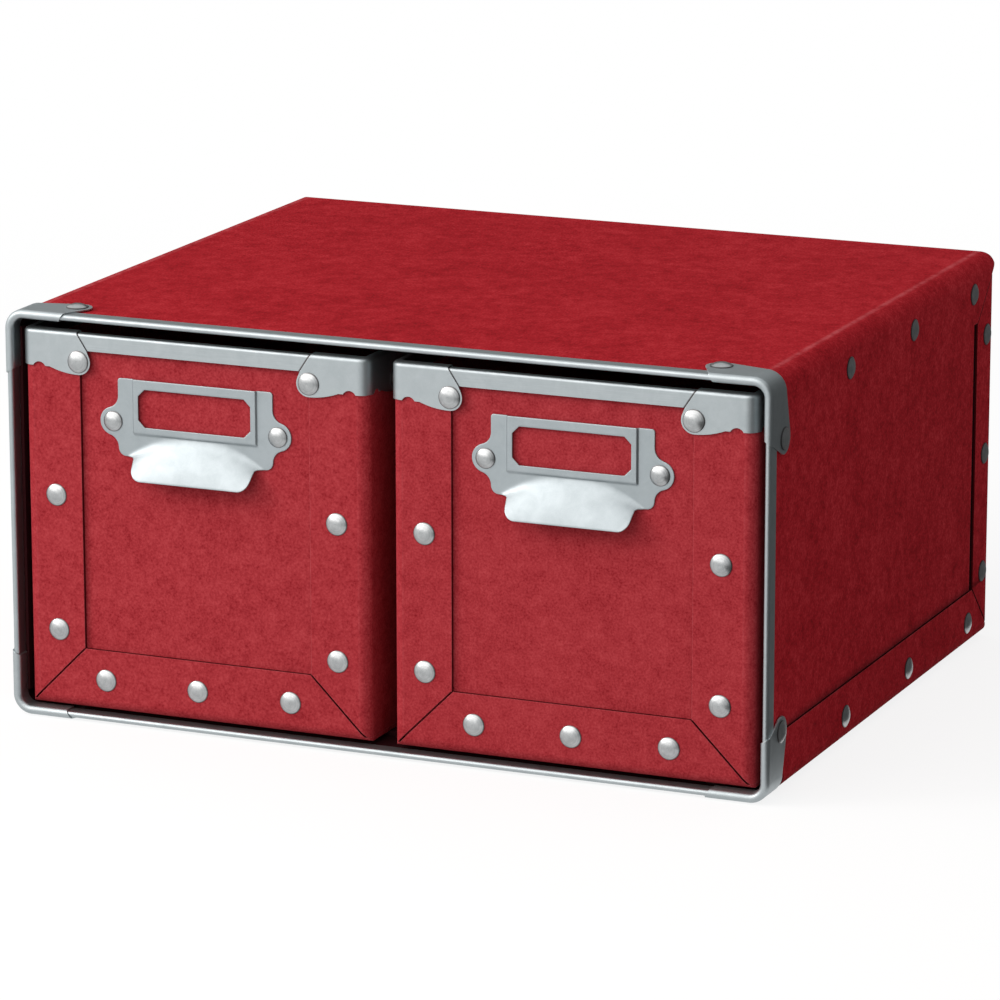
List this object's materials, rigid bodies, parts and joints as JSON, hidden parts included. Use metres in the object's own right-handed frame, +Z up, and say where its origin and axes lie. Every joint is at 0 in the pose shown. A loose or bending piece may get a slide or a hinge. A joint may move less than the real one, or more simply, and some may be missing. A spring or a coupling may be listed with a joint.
{
  "type": "disc storage drawer cabinet",
  "caption": "Low riveted fibreboard cabinet with a metal-edged mouth and side-by-side sliding drawers, each with a metal rim, corner caps and a label holder with a finger hood.",
  "frame": {"origin": "on the surface that the cabinet stands on, under the middle of its boards from side to side and from front to back", "axes": "+X to the right seen from the front, -Y to the front, the way the drawers open, +Z up"},
  "size_m": [0.3252, 0.2715, 0.1666],
  "materials": {
    "board": "matt dyed fibreboard",
    "lining": "matt dyed fibreboard",
    "channel": "satin nickel plate",
    "stamping": "satin nickel plate",
    "rivet": "polished nickel plate"
  },
  "bodies": {
    "cabinet": {"sleeve": "board", "base": "board", "back": "board", "floor_liner": "lining", "liner_left": "lining", "liner_right": "lining", "rail_top": "channel", "rail_bottom": "channel", "rail_left": "channel", "rail_right": "channel", "corner_top_left": "stamping", "corner_top_right": "stamping", "corner_bottom_left": "stamping", "corner_bottom_right": "stamping", "rivets_left": "rivet", "rivets_right": "rivet", "rivets_back": "rivet", "rivets_corners": "rivet"},
    "left_drawer": {"left_tray": "board", "left_side_left": "board", "left_side_right": "board", "left_panel_front": "board", "left_panel_back": "board", "left_rim_front": "channel", "left_rim_back": "channel", "left_rim_left": "channel", "left_rim_right": "channel", "left_cap_front_left": "stamping", "left_cap_front_right": "stamping", "left_cap_back_left": "stamping", "left_cap_back_right": "stamping", "left_pull": "stamping", "left_pull_rivets": "rivet", "left_rivets_front": "rivet", "left_rivets_back": "rivet", "left_rivets_sides": "rivet"},
    "right_drawer": {"right_tray": "board", "right_side_left": "board", "right_side_right": "board", "right_panel_front": "board", "right_panel_back": "board", "right_rim_front": "channel", "right_rim_back": "channel", "right_rim_left": "channel", "right_rim_right": "channel", "right_cap_front_left": "stamping", "right_cap_front_right": "stamping", "right_cap_back_left": "stamping", "right_cap_back_right": "stamping", "right_pull": "stamping", "right_pull_rivets": "rivet", "right_rivets_front": "rivet", "right_rivets_back": "rivet", "right_rivets_sides": "rivet"}
  },
  "joints": [
    {"name": "left_drawer_slide", "type": "slide", "parent": "cabinet", "child": "left_drawer", "axis": [0, -1, 0], "range_m": [0, 0.23]},
    {"name": "right_drawer_slide", "type": "slide", "parent": "cabinet", "child": "right_drawer", "axis": [0, -1, 0], "range_m": [0, 0.23]}
  ]
}
